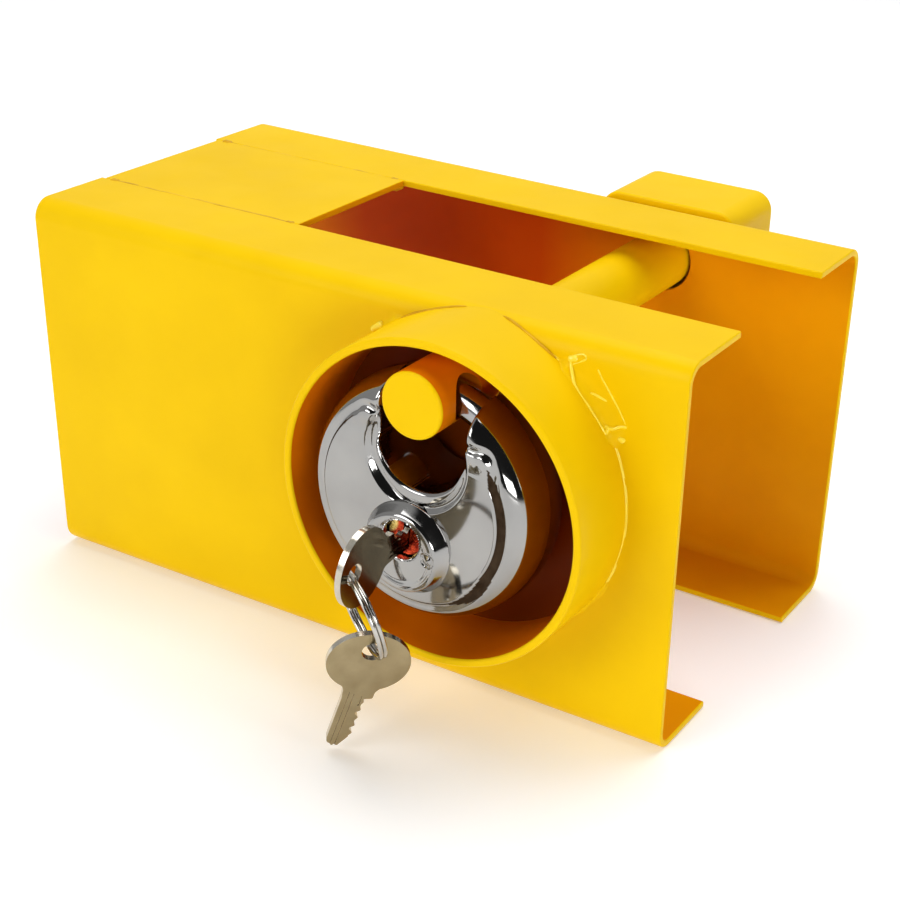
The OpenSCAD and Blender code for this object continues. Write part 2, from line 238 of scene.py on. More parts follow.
def edge_painted_shade():
    """Painted shade on the plate's cut edge, which looks into the box: the yellow paint coloured orange."""
    s = enamel("edge_painted_shade")
    return s.colour(tones(s, 24, SHADE_ORANGE)).material


def pin_painted_shade():
    """Painted shade on the pin's side where it stands in the shroud: the yellow paint coloured amber."""
    s = enamel("pin_painted_shade")
    return s.colour(tones(s, 24, SHADE_AMBER)).material


def weld_highlight_paint():
    """The enamel over a weld's ridges: glossy, and coloured a lighter yellow than round it as a painted
    highlight.
    """
    s = Shader("weld_highlight_paint", 0.2, Specular_IOR_Level=0.4)
    s.colour(tones(s, 9, ((0.93, 0.70, 0.03), (0.97, 0.78, 0.08))))
    s.bump(s.noise(2.4, 2), 0.05)
    return s.material


def seam_painted_shade():
    """Painted shade: a darker colour for the seams' beads and the tube's crevices, for the shadow in those
    gaps.
    """
    s = Shader("seam_painted_shade", 0.4, Specular_IOR_Level=0.15)
    s.colour(tones(s, 9, ((0.50, 0.24, 0.001), (0.80, 0.47, 0.0015))))
    s.bump(s.noise(1.8, 2), 0.04)
    return s.material


def polished_steel():
    """Polished stainless: faint haze, hairlines and a slow ripple from the press."""
    s = Shader("polished_steel", 0.08, 1.0)
    s.colour(tones(s, 14, ((0.325, 0.320, 0.312), (0.37, 0.365, 0.355))))
    s.rough(s.span(s.noise(9, 2), 0.05, 0.11))
    s.bump(s.noise(0.35, 1, (9, 1, 1)), 0.0005).bump(s.noise(16, 0), 0.02)
    return s.material


def painted_dark_reflection():
    """The right side of the trough's floor: a dull dark tone that stands in for a dark reflection."""
    s = Shader("painted_dark_reflection", 0.6, Specular_IOR_Level=0.0)
    s.colour(tones(s, 3, ((0.030, 0.018, 0.010), (0.055, 0.036, 0.022))))
    s.bump(s.noise(0.6, 2), 0.003)
    return s.material


def hardened_steel():
    s = Shader("hardened_steel", 0.12, 1.0)
    s.colour(tones(s, 5, ((0.30, 0.30, 0.31), (0.40, 0.40, 0.40))))
    s.rough(s.span(s.noise(4, 2), 0.08, 0.16))
    s.bump(s.noise(0.5, 1, (1, 8, 1)), 0.001)
    return s.material


def nickel_silver(name, tone):
    """Satin key blank: warm grey with fine scratches, hazier in places."""
    s = Shader(name, 0.17, 1.0)
    s.colour(tones(s, 7, [[c * tone for c in pair] for pair in ((0.31, 0.246, 0.134), (0.40, 0.325, 0.19))]))
    s.rough(s.span(s.noise(6, 2), 0.14, 0.2))
    s.bump(s.noise(0.25, 1, (1, 1, 14)), 0.002).bump(s.noise(1.2, 2), 0.003)
    return s.material


def nickel_wire():
    s = Shader("nickel_wire", 0.12, 1.0)
    s.colour(tones(s, 4, ((0.40, 0.385, 0.355), (0.54, 0.52, 0.48))))
    s.rough(s.span(s.noise(3, 2), 0.08, 0.16))
    s.bump(s.noise(0.6, 1), 0.001)
    return s.material


def metal(name, dark, light, rough_low, rough_high, grain_mm, depth_mm):
    """A plain metal: two tones, a varied finish and a grain."""
    s = Shader(name, rough_high, 1.0)
    s.colour(s.ramp(s.noise(grain_mm * 4, 5), [(0.3, dark), (0.7, light)]))
    s.rough(s.span(s.noise(grain_mm * 2, 4), rough_low, rough_high))
    s.bump(s.noise(grain_mm, 3), depth_mm)
    return s.material


def plug_metal():
    """The plug's face: rough and sparkling, copper-red with a brass patch at its upper left."""
    s = Shader("plug_copper", 0.22, 1.0)
    red = s.ramp(s.noise(1.2, 3), [(0.35, (0.17, 0.008, 0.004)), (0.7, (0.72, 0.085, 0.03))])
    gold = s.ramp(s.noise(2, 3), [(0.3, (0.62, 0.42, 0.10)), (0.7, (0.85, 0.66, 0.24))])
    corner = (plug_k.x - 5.6 * MM, 0, plug_k.z + 3.2 * MM)
    s.colour(s.mix(s.span(s.reach(corner, (1, 0, 1)), 1, 0, 2.6 * MM, 3.4 * MM), red, gold))
    s.rough(s.span(s.noise(0.8, 3), 0.12, 0.34))
    s.bump(s.noise(0.7, 3), 0.16)
    return s.material


def pale_floor():
    s = Shader("pale_floor", 0.8, Specular_IOR_Level=0.1, Emission_Color=(1, 1, 1, 1), Emission_Strength=0.16)
    s.colour(s.ramp(s.noise(90, 3), [(0.3, (0.93, 0.93, 0.93)), (0.7, (0.95, 0.95, 0.95))]))
    s.bump(s.noise(3, 2), 0.01)
    return s.material


PAINT = yellow_paint()
SIDE_PAINT_AND_SHADE = near_side_paint_and_shade()
INNER_SHADE = inner_painted_shade()
SHROUD_SHADE = shroud_painted_shade()
EDGE_SHADE = edge_painted_shade()
PIN_SHADE = pin_painted_shade()
WELD_HIGHLIGHT = weld_highlight_paint()
SEAM_SHADE = seam_painted_shade()
STEEL = polished_steel()
SHADED_STEEL = painted_dark_reflection()
BAR = hardened_steel()
KEY_METAL = nickel_silver("nickel_silver", 1.05)
# The key in the lock takes the same nickel silver at half the brightness, as painted shade.
SHADED_KEY_METAL = nickel_silver("nickel_silver_shaded", 0.5)
KEY_EDGE = metal("worn_key_edge", (0.50, 0.46, 0.38), (0.66, 0.62, 0.54), 0.14, 0.26, 1.2, 0.003)
WIRE = nickel_wire()
BRASS = metal("brass", (0.55, 0.33, 0.09), (0.78, 0.52, 0.18), 0.16, 0.32, 0.6, 0.01)
COPPER = plug_metal()
CAST = metal("zinc_casting", (0.30, 0.30, 0.31), (0.42, 0.42, 0.43), 0.4, 0.6, 0.9, 0.06)
DARK = metal("dark_steel", (0.10, 0.10, 0.105), (0.18, 0.18, 0.185), 0.3, 0.5, 0.5, 0.01)
SPRING = metal("spring_steel", (0.40, 0.40, 0.41), (0.55, 0.55, 0.56), 0.2, 0.35, 0.3, 0.004)

NODE_MATERIALS = {
    "drive_cam": CAST, "shackle": BAR,
    "cylinder_housing": BRASS, "driver_pins": BRASS, "key_pins": BRASS, "plug": COPPER,
    "chamber_cover": DARK, "cam_screw": DARK, "pin_springs": SPRING,
}


# ---- Mesh tools ----

def make(name, vertices, faces, material):
    """A new object of this mesh, its faces turned outwards."""
    mesh = bpy.data.meshes.new(name)
    mesh.from_pydata([tuple(v) for v in vertices], [], faces)
    mesh.validate()
    obj = bpy.data.objects.new(name, mesh)
    bpy.context.scene.collection.objects.link(obj)
    bm = bmesh.new()
    bm.from_mesh(mesh)
    bmesh.ops.recalc_face_normals(bm, faces=bm.faces)
    bm.to_mesh(mesh)
    bm.free()
    if material:
        mesh.materials.append(material)
    return obj


def settle(obj):
    """Makes the result of obj's modifiers its own mesh."""
    depsgraph = bpy.context.evaluated_depsgraph_get()
    mesh = bpy.data.meshes.new_from_object(obj.evaluated_get(depsgraph))
    obj.modifiers.clear()
    obj.data = mesh
    return obj


def cut(obj, other):
    """Cuts other out of obj, and removes other."""
    modifier = obj.modifiers.new("cut", "BOOLEAN")
    modifier.object = other
    modifier.operation = "DIFFERENCE"
    modifier.solver = "EXACT"
    settle(obj)
    bpy.data.objects.remove(other)
    return obj


def smooth(obj, angle):
    """Shades obj smooth, apart from edges sharper than angle degrees."""
    obj.data.shade_smooth()
    obj.data.set_sharp_from_angle(angle=math.radians(angle))
    return obj


MERGE_DISTANCE = 0.004 * MM     # points closer than this become one


def round_edges(obj, width, segments=3, angle=40):
    """Rounds obj's sharp edges and keeps its flats flat."""
    bm = bmesh.new()
    bm.from_mesh(obj.data)
    bmesh.ops.remove_doubles(bm, verts=bm.verts, dist=MERGE_DISTANCE)
    bm.to_mesh(obj.data)
    bm.free()
    bevel = obj.modifiers.new("bevel", "BEVEL")
    bevel.width = width
    bevel.segments = segments
    bevel.limit_method = "ANGLE"
    bevel.angle_limit = math.radians(angle)
    bevel.use_clamp_overlap = True
    settle(obj)
    obj.data.shade_smooth()
    obj.modifiers.new("normals", "WEIGHTED_NORMAL").keep_sharp = True
    return settle(obj)


def prism(name, outline, depth, material, place=Matrix()):
    """A closed outline in x and z, made solid from y = -depth/2 to depth/2, then placed."""
    n = len(outline)
    vertices = [place @ Vector((x, y, z)) for y in (-depth / 2, depth / 2) for x, z in outline]
    sides = [(i, (i + 1) % n, (i + 1) % n + n, i + n) for i in range(n)]
    return make(name, vertices, [tuple(range(n)), tuple(range(2 * n - 1, n - 1, -1)), *sides], material)


def arc(cx, cy, r, start, end, steps):
    """Points on a circle, angles in degrees."""
    angles = [math.radians(start + (end - start) * i / steps) for i in range(steps + 1)]
    return [(cx + r * math.cos(a), cy + r * math.sin(a)) for a in angles]


def rounded_box(width, height, r, steps=10):
    """A rectangle's outline with round corners, steps to a corner."""
    w, h = width / 2 - r, height / 2 - r
    corners = ((w, h, 0), (-w, h, 90), (-w, -h, 180), (w, -h, 270))
    return [p for x, y, a in corners for p in arc(x, y, r, a, a + 90, steps)]


def lathe(name, profile, material, segments, place=Matrix(), closed=True):
    """Turns a profile of (radius, y) points round the Y axis. A closed profile makes a ring."""
    count = len(profile)
    vertices, faces = [], []
    for s in range(segments):
        a = 2 * math.pi * s / segments
        vertices += [place @ Vector((r * math.sin(a), y, r * math.cos(a))) for r, y in profile]
    for s in range(segments):
        t = (s + 1) % segments
        for i in range(count if closed else count - 1):
            j = (i + 1) % count
            faces.append((s * count + i, s * count + j, t * count + j, t * count + i))
    if not closed:
        faces.append(tuple(s * count for s in range(segments)))
        faces.append(tuple(s * count + count - 1 for s in range(segments)))
    return make(name, vertices, faces, material)


def bar_y(name, r, y0, y1, place=Matrix(), segments=96):
    """A round bar along the Y axis, to cut a hole with."""
    return lathe(name, [(r, y0), (r, y1)], None, segments, place, closed=False)


def bead(name, path, radius, material, lump, ripple, seed):
    """A weld bead: a tube along path whose thickness swells, ripples and dies out at its ends."""
    sides, swell_length, wobble_length, ripple_length = 14, 6 * MM, 2.5 * MM, 1.7 * MM
    vertices, faces, length = [], [], 0.0
    for i, point in enumerate(path):
        before, after = path[max(i - 1, 0)], path[min(i + 1, len(path) - 1)]
        ahead = (after - before).normalized()
        length += (point - before).length
        side = ahead.cross(Vector((0, 0, 1)) if abs(ahead.z) < 0.9 else Vector((0, 1, 0))).normalized()
        up = side.cross(ahead)
        ends = min(i, len(path) - 1 - i) / 5
        swell = noise.noise(Vector((length / swell_length, seed, 0)))
        r = radius * min(1, 0.35 + 0.65 * math.sqrt(ends)) * (1 + lump * swell)
        r *= 1 + ripple * math.sin(2 * math.pi * length / ripple_length)
        for k in range(sides):
            a = 2 * math.pi * k / sides
            wobble = 1 + 0.5 * lump * noise.noise(Vector((length / wobble_length, a, seed)))
            vertices.append(point + (side * math.cos(a) + up * math.sin(a)) * r * wobble)
    for i in range(len(path) - 1):
        for k in range(sides):
            j = (k + 1) % sides
            faces.append((i * sides + k, i * sides + j, (i + 1) * sides + j, (i + 1) * sides + k))
    faces.append(tuple(range(sides)))
    faces.append(tuple((len(path) - 1) * sides + k for k in range(sides)))
    return smooth(make(name, vertices, faces, material), 80)


def join(name, objects):
    """One object of several, kept as separate shells."""
    bm = bmesh.new()
    for obj in objects:
        bm.from_mesh(obj.data)
    mesh = bpy.data.meshes.new(name)
    bm.to_mesh(mesh)
    bm.free()
    mesh.materials.append(objects[0].data.materials[0])
    joined = bpy.data.objects.new(name, mesh)
    bpy.context.scene.collection.objects.link(joined)
    for obj in objects:
        bpy.data.objects.remove(obj)
    return joined


def paint_shade_on(obj, material, is_inside):
    """Gives the faces whose middle is_inside accepts a second material: the painted shade, or on the
    padlock's trough the painted reflection.
    """
    obj.data.materials.append(material)
    inner = len(obj.data.materials) - 1
    for face in obj.data.polygons:
        if is_inside(face.center):
            face.material_index = inner


def ease(t):
    """From 0 to 1 with a soft start and end, and level beyond them."""
    t = min(1.0, max(0.0, t))
    return t * t * (3 - 2 * t)


def keep(obj, body, slot, *nodes):
    """The piece rides on body and stands for nodes. slot is not used."""
    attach(obj, body)
    if nodes:
        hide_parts(*nodes)
    return obj


# ---- Housing ----

SHEET_EDGE = 0.45 * MM          # rounding of the sheet's cut edges
NEAR_HOLE_PLAY = 0.6 * MM
FAR_HOLE_PLAY = 1.0 * MM
ALONG_X = Matrix(((0, 1, 0, 0), (1, 0, 0, 0), (0, 0, 1, 0), (0, 0, 0, 1)))
HOUSING_MID = Vector((0, (near_lo.y + far_hi.y) / 2, near_hi.z / 2))


def channel(name, node, side):
    """A bent C-section: bottom flange, web and top flange, then the pin's hole."""
    lo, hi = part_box(node)
    web = hi.y if side > 0 else lo.y
    top_edge = lo.y if side > 0 else hi.y
    bottom_edge = top_edge + side * BOTTOM_STEP
    height, inner_r, steps = hi.z, BEND_R - SHEET, 12
    bend = web - side * BEND_R
    low = [(abs(y), z) for y, z in arc(0, 0, 1, 270, 360, steps)]
    outline = [(bottom_edge, 0)]
    outline += [(bend + side * BEND_R * c, BEND_R + BEND_R * s) for c, s in low]
    outline += [(bend + side * BEND_R * c, height - BEND_R - BEND_R * s) for c, s in reversed(low)]
    outline += [(top_edge, height), (top_edge, height - SHEET)]
    outline += [(bend + side * inner_r * c, height - BEND_R - inner_r * s) for c, s in low]
    outline += [(bend + side * inner_r * c, BEND_R + inner_r * s) for c, s in reversed(low)]
    outline += [(bottom_edge, SHEET)]
    place = Matrix.Translation(((lo.x + hi.x) / 2, 0, 0)) @ ALONG_X
    obj = prism(name, outline, hi.x - lo.x, PAINT if side > 0 else SIDE_PAINT_AND_SHADE, place)
    play = FAR_HOLE_PLAY if side > 0 else NEAR_HOLE_PLAY
    at_pin = Matrix.Translation((pin_x, 0, pin_z))
    hole = bar_y("hole", pin_r + play, web - 4 * SHEET, web + 4 * SHEET, at_pin)
    cut(obj, hole)
    round_edges(obj, SHEET_EDGE)
    skin = 0.9 * SHEET

    def inside(p):
        clear_of_ends = lo.x + SHEET_EDGE < p.x < hi.x - SHEET_EDGE
        clear_of_lips = side * (p.y - top_edge) > 2 * SHEET_EDGE
        return clear_of_ends and clear_of_lips and side * (web - p.y) > skin and skin < p.z < height - skin

    # Painted shade: the faces inside the box take the red-to-orange colour.
    paint_shade_on(obj, INNER_SHADE, inside)
    return keep(obj, "housing", "yellow_paint", node)


def rear_top_plate():
    """The flat plate between the channels, with orange painted shade on the cut edge that looks into the box.
    """
    centre = (plate_lo + plate_hi) / 2
    size = plate_hi - plate_lo
    outline = [(sx * size.x / 2, sz * size.z / 2) for sx, sz in ((-1, -1), (1, -1), (1, 1), (-1, 1))]
    obj = prism("rear_top_plate", outline, size.y, PAINT, Matrix.Translation(centre))
    round_edges(obj, 0.35 * MM)
    paint_shade_on(obj, EDGE_SHADE, lambda place: place.x > plate_hi.x - 0.1 * MM)
    return keep(obj, "housing", "yellow_paint", "top_plate")


def seam_weld(name, node, y, radius, seed):
    """A low bead along the plate's edge, with a lump at each end."""
    x0, x1, count = plate_lo.x + 0.5 * MM, plate_hi.x - 0.5 * MM, 170
    top, sink, most_wander = near_hi.z, 1.5 * MM, 0.5 * MM
    path = []
    for i in range(count + 1):
        t = i / count
        wander = most_wander * noise.noise(Vector((t * 9, seed, 0)))
        path.append(Vector((x0 + (x1 - x0) * t, y + wander, top - sink)))
    # The bead and its lumps take the darker seam colour, which is painted shade.
    pieces = [bead("run", path, radius, SEAM_SHADE, 0.1, 0.01, seed)]
    lump_r, lump_length, lump_steps = 2.0 * MM, 6 * MM, 14
    for x, proud in ((plate_lo.x + 4 * MM, 0.3 * MM), (plate_hi.x - 3.2 * MM, 0.12 * MM)):
        start = Vector((x - lump_length / 2, y, top - lump_r + proud))
        path = [start + Vector((lump_length * i / lump_steps, 0, 0)) for i in range(lump_steps + 1)]
        pieces.append(bead("lump", path, lump_r, SEAM_SHADE, 0.2, 0.02, seed + x * 90))
    return keep(join(name, pieces), "housing", "yellow_paint", node)


def housing_solid():
    """The channels' outer outline as one solid, to cope the shroud with."""
    width, height, length = far_hi.y - near_lo.y, near_hi.z, 400 * MM
    outline = rounded_box(width, height, BEND_R, 16)
    return prism("housing_solid", outline, length, None, Matrix.Translation(HOUSING_MID) @ ALONG_X)


def shroud():
    """A tube with a rounded rim, coped to the side and to the top bend."""
    inner, rim, back = shroud_r - SHROUD_WALL, 0.75 * MM, near_lo.y + BEND_R
    front_row, back_row = rim_y + 6 * MM, back - 4 * MM
    profile = [(inner, back), (inner, back_row), (inner, front_row)]
    profile += arc(inner + rim, rim_y + rim, rim, 180, 270, 6)
    profile += arc(shroud_r - rim, rim_y + rim, rim, 270, 360, 6)
    profile += [(shroud_r, front_row), (shroud_r, back_row), (shroud_r, back)]
    place = Matrix.Translation((shroud_x, 0, shroud_z))
    obj = lathe("round_shroud", profile, PAINT, 240, place)
    cut(obj, housing_solid())

    def on_inner_wall(p):
        return math.hypot(p.x - shroud_x, p.z - shroud_z) < inner + 0.02 * MM

    # Painted shade: the inner wall takes the deep orange-red colour.
    paint_shade_on(obj, SHROUD_SHADE, on_inner_wall)
    return keep(smooth(obj, 40), "housing", "yellow_paint", "shroud_tube")


def foot_point(degrees, out, up):
    """A point by the shroud's foot: degrees right of the top, out along the side, up the tube."""
    a, r = math.radians(degrees), shroud_r + out
    x, z = shroud_x + r * math.sin(a), shroud_z + r * math.cos(a)
    into_bend = min(max(z - near_hi.z + BEND_R, 0), BEND_R)
    return Vector((x, near_lo.y - up + BEND_R - math.sqrt(BEND_R ** 2 - into_bend ** 2), z))


def fillet(start, end, leg_out, leg_up, lump, seed, material):
    """A weld laid in the corner between tube and side: hollow, so it runs smoothly out onto both."""
    across, sunk_in, unevenness = 12, 0.8 * MM, 0.2 * MM
    count = max(10, int(abs(end - start) * 3))
    vertices, faces = [], []
    for i in range(count + 1):
        degrees = start + (end - start) * i / count
        taper = 0.05 + 0.95 * ease(min(i, count - i) / min(15, count / 2))
        wave = noise.noise(Vector((degrees * 0.3, seed, 0)))
        other = noise.noise(Vector((degrees * 0.4, seed, 7)))
        out, up = leg_out * taper * (1 + lump * wave), leg_up * taper * (1 + lump * other)
        for k in range(across + 1):
            t = k / across
            lift = unevenness * noise.noise(Vector((degrees * 0.25, 2 * t, seed)))
            lift *= math.sin(math.pi * t) * taper
            vertices.append(foot_point(degrees, out * t * (0.2 + 0.8 * t) + lift,
                                       up * (1 - t) * (1 - 0.8 * t) + lift))
        vertices.append(foot_point(degrees, out, -sunk_in))
        vertices.append(foot_point(degrees, -sunk_in, -sunk_in))
        vertices.append(foot_point(degrees, -sunk_in, up))
    n = across + 4
    for i in range(count):
        for k in range(n):
            j = (k + 1) % n
            faces.append((i * n + k, i * n + j, (i + 1) * n + j, (i + 1) * n + k))
    faces += [tuple(range(n)), tuple(count * n + k for k in range(n))]
    return smooth(make("fillet", vertices, faces, material), 60)


# Each run: from and to in degrees right of the top, legs out and up in mm, lumpiness and seed.
WELD_RUNS = ((31, 66, 6.2, 2.7, 0.08, 1.7), (-47, -29, 2.8, 1.8, 0.15, 5.5), (-58, -52, 2.6, 1.8, 0.2, 3.7),
             (113, 139, 1.4, 1.1, 0.15, 2.2), (203, 230, 1.4, 1.1, 0.15, 7.4))
TOP_GAP = 27                    # degrees each side of the top that the thin line leaves bare
# Glossy lines and drops on the runs, coloured lighter as painted highlights: radius in mm, lumpiness, then
# corners as degrees, out and up in mm.
WELD_LINES = (
    (0.35, 0.6, ((35, 2.5, 0.5), (38, 1, 1.5), (41, 0, 2.5), (48, 0, 3), (60, 0, 2))),
    (0.3, 0.6, ((46, 1.5, 1), (48, 2.5, 0.5), (51, 4, 0))),
    (0.25, 0.3, ((42, 7, 0), (46, 6, 0), (59, 5.5, 0))),
    (0.45, 0.9, ((57, 0.5, 1.5), (59, 1.5, 1), (59, 4, 0), (60, 5.5, 0))),
    (0.5, 0.9, ((58, 1, 1.5), (60, 0, 1.5), (62, 0, 1))),
    (0.9, 0.6, ((60, 3, -0.5), (62, 2, -0.5), (64, 3, -0.5))),
    (0.25, 0.7, ((34, 3, 0), (36, 6.5, 0), (38, 6.5, 0), (37, 4, 0), (36, 2.5, 0.5))),
    (1.3, 0.4, ((34, 2, -0.5), (36, 4.5, -1))),
    (1.1, 0.6, ((-44, 1.5, 0.5), (-39, 1, 0))),
    (0.9, 0.6, ((-56, 1, 0), (-53, 1, 0))))


def rounded(corners):
    """The line through these corners with each corner cut off three times, which leaves a curve."""
    for _ in range(3):
        line = [corners[0]]
        for a, b in zip(corners, corners[1:]):
            line.append(tuple(0.75 * p + 0.25 * q for p, q in zip(a, b)))
            line.append(tuple(0.25 * p + 0.75 * q for p, q in zip(a, b)))
        corners = line + [corners[-1]]
    return corners


def shroud_welds():
    """Smooth uneven stretches where the tube was tacked, and the glossy lines on and between them, coloured
    lighter as painted highlights.
    """
    runs = []
    for start, end, out, up, lump, seed in WELD_RUNS:
        runs.append(fillet(start, end, out * MM, up * MM, lump, seed, PAINT))
    keep(join("shroud_weld_runs", runs), "housing", "yellow_paint", "shroud_weld")
    ridges = [fillet(TOP_GAP, 360 - TOP_GAP, 0.5 * MM, 0.4 * MM, 0.15, 3.1, WELD_HIGHLIGHT)]
    for seed, (radius, lump, corners) in enumerate(WELD_LINES):
        path = [foot_point(degrees, out * MM, up * MM) for degrees, out, up in rounded(corners)]
        ridges.append(bead("line", path, radius * MM, WELD_HIGHLIGHT, lump, 0.02, seed))
    keep(join("shroud_weld_ridges", ridges), "housing", "yellow_paint")


def shroud_crevice_shade():
    """Painted shade: dark beads laid along the crease where the tube's top runs out into the bend, short of
    the welds.
    """
    pieces, start, end, steps = [], 7, 31, 40
    for side in (-1, 1):
        path = [foot_point(side * (start + (end - start) * i / steps), 0, 0.5 * MM) for i in range(steps + 1)]
        pieces.append(bead("crevice", path, 0.42 * MM, SEAM_SHADE, 0.3, 0, side))
    return keep(join("shroud_crevice_shade", pieces), "housing", "yellow_paint")


# ---- Pin and its head ----

def pin_bar():
    """The round bar: a dressed near end, and the hole that takes the shackle."""
    edge, start, end = 0.9 * MM, pin_lo.y, pin_hi.y
    wall = near_lo.y + SHEET
    profile = [(0.5 * MM, start), (pin_r - edge, start)]
    profile += arc(pin_r - edge, start + edge, edge, 280, 360, 5)
    profile += [(pin_r, start + 8 * MM), (pin_r, wall), (pin_r, end - 2 * MM), (pin_r, end)]
    obj = lathe("pin_bar", profile, PAINT, 128, Matrix.Translation((pin_x, 0, pin_z)), closed=False)
    across = Matrix.Translation(swing) @ Matrix.Rotation(math.radians(90), 4, "Z")
    cut(obj, bar_y("cross_hole", CROSS_HOLE_R, -2 * pin_r, 2 * pin_r, across))
    round_edges(obj, 0.3 * MM, 2)
    # Painted shade: the pin's side from its dressed end to the plate takes the amber colour.
    paint_shade_on(obj, PIN_SHADE, lambda p: start + 1.2 * MM < p.y < wall)
    return keep(obj, "pin", "yellow_paint", "lock_pin")


HEAD_CORNER = 6 * MM
HEAD_WALL = 3 * MM


def head_box():
    """A short piece of box tube with softened ends."""
    centre, size = (head_lo + head_hi) / 2, head_hi - head_lo
    place = Matrix.Translation(centre)
    obj = prism("head_box", rounded_box(size.x, size.z, HEAD_CORNER), size.y, PAINT, place)
    inner = rounded_box(size.x - 2 * HEAD_WALL, size.z - 2 * HEAD_WALL, HEAD_CORNER - HEAD_WALL)
    cut(obj, prism("inner", inner, 2 * size.y, None, place))
    return keep(round_edges(obj, 0.9 * MM, 4), "pin", "yellow_paint", "head_tube")


def head_end():
    """The cap plate, set a hair inside the tube's end."""
    centre, size = (cap_lo + cap_hi) / 2, cap_hi - cap_lo
    outline = rounded_box(size.x, size.z, HEAD_CORNER - HEAD_WALL)
    obj = prism("head_end_plate", outline, size.y - 0.4 * MM, PAINT, Matrix.Translation(centre))
    return keep(round_edges(obj, 0.3 * MM, 2), "pin", "yellow_paint", "head_cap")


def head_fillet():
    """The bead between the pin and the cap plate, inside the head."""
    r, y, steps = pin_r + 0.9 * MM, cap_lo.y - 0.6 * MM, 120
    path = []
    for i in range(steps + 1):
        a = 2 * math.pi * i / steps
        path.append(Vector((pin_x + r * math.sin(a), y, pin_z + r * math.cos(a))))
    # Its lighter colour is a painted highlight.
    obj = bead("head_fillet", path, 2.2 * MM, WELD_HIGHLIGHT, 0.2, 0.02, 1.3)
    return keep(obj, "pin", "yellow_paint", "head_weld")


# ---- Padlock shells ----
# Their own frame: x right, y back, z up, in millimetres, origin at the disc's centre.

DISC_R = 35.0
HALF_T = 12.5
SHOULDER = 6.5             # radius of the rounded rim
NOTCH_WALL = 1.2           # thickness of the wall that lines the notch
SHELL_WALL = 2.6           # how far inside the front the shells' hollow starts
CAST_FACE = 10.4           # how far out the castings reach
NOTCH_R = 13.2
NOTCH_Z = 17.8
ROLL = 1.3                 # radius that the notch's rim is rolled to
FLANGE_R = 28.3            # outer edge of the raised face
FLANGE_TOP = 21.6          # the raised face ends below the horns
STEP = 1.0                 # depth of the trough round the raised face, short of the casting inside
TROUGH_END = 30.6          # where the trough starts to run out into the rim
LIP = (-0.5, 14.6, 15.3)   # pressed ring round the notch: centre x, z and radius
LIP_STEP = 1.2
KNUCKLES = ((-16.5, 19.9), (18.2, 19.5))    # round knobs at the raised face's two upper ends: x, z
KNUCKLE_R = 2.5
KNUCKLE_RISE = 0.3
SHACKLE_R = 28.8           # radius of the circle that the shackle's bar is bent to
PORT_R = 4.85              # radius of the shells' ports for the bar
BOSS_Z = -12.4
BOSS_BASE_R = 13.3
BOSS_FACE_R = 11.2
BOSS_OUT = 4.2
KEYHOLE_R = 5.75
KEYHOLE_ROLL = 0.7
RIVET_X, RIVET_Z, RIVET_R = 8.6, 1.2, 1.3   # from the boss's middle


def soft_max(a, b, k):
    """The larger of a and b, with the corner between them rounded over k."""
    h = max(k - abs(a - b), 0) / k
    return max(a, b) + h * h * k / 4


def soft_min(a, b, k):
    return -soft_max(-a, -b, k)


def notch_distance(x, z):
    """Distance outside the notch's wall."""
    if z > NOTCH_Z:
        return abs(x) - NOTCH_R
    return math.hypot(x, z - NOTCH_Z) - NOTCH_R


def trough(x, z):
    """Distance outside the raised face's edge, which is set further in at the right."""
    inward = 2.3 * ease((x - 4) / 14) * ease((z + 27) / 18) * ease((20 - z) / 7)
    edge = soft_max(math.hypot(x, z) - FLANGE_R + inward, z - FLANGE_TOP, 3.0)
    return min(soft_min(edge, math.hypot(x - kx, z - kz) - KNUCKLE_R, 1.0) for kx, kz in KNUCKLES)


def sunk(x, z):
    """How far the pressed front lies behind the plain rounded disc."""
    # The trough drops at the raised face's edge, climbs most of the way back and runs out at the rim.
    edge = trough(x, z)
    climb = 0.75 * ease((edge - 0.9) / 2.0)
    run_out = ease((math.hypot(x, z) - TROUGH_END) / 3)
    depth = STEP * ease(edge / 1.2 + 0.5) * (1 - climb) * (1 - run_out)
    # The ring round the notch is a step down and a smaller one up, both heavier on the left.
    lip = LIP[2] - math.hypot(x - LIP[0], z - LIP[1])
    left = ease((-x - 1) / 9)
    ring = (LIP_STEP + 0.5 * left) * ease(lip / (1.5 + left) + 0.5)
    ring -= (0.5 + 0.85 * left) * ease((lip - 1.1 - 0.9 * left) / 1.2)
    depth = max(depth, ring) if z < 16 else soft_max(depth, ring, 0.4)
    for kx, kz in KNUCKLES:
        depth -= KNUCKLE_RISE * ease((1 - math.hypot(x - kx, z - kz) / KNUCKLE_R) / 0.9)
    # The notch's rim rolls over into its wall.
    wall = notch_distance(x, z)
    if wall < ROLL:
        over = min(ROLL - wall, ROLL)
        depth += ROLL - math.sqrt(max(ROLL * ROLL - over * over, 0)) + max(0, -wall) * 2.5
    return depth


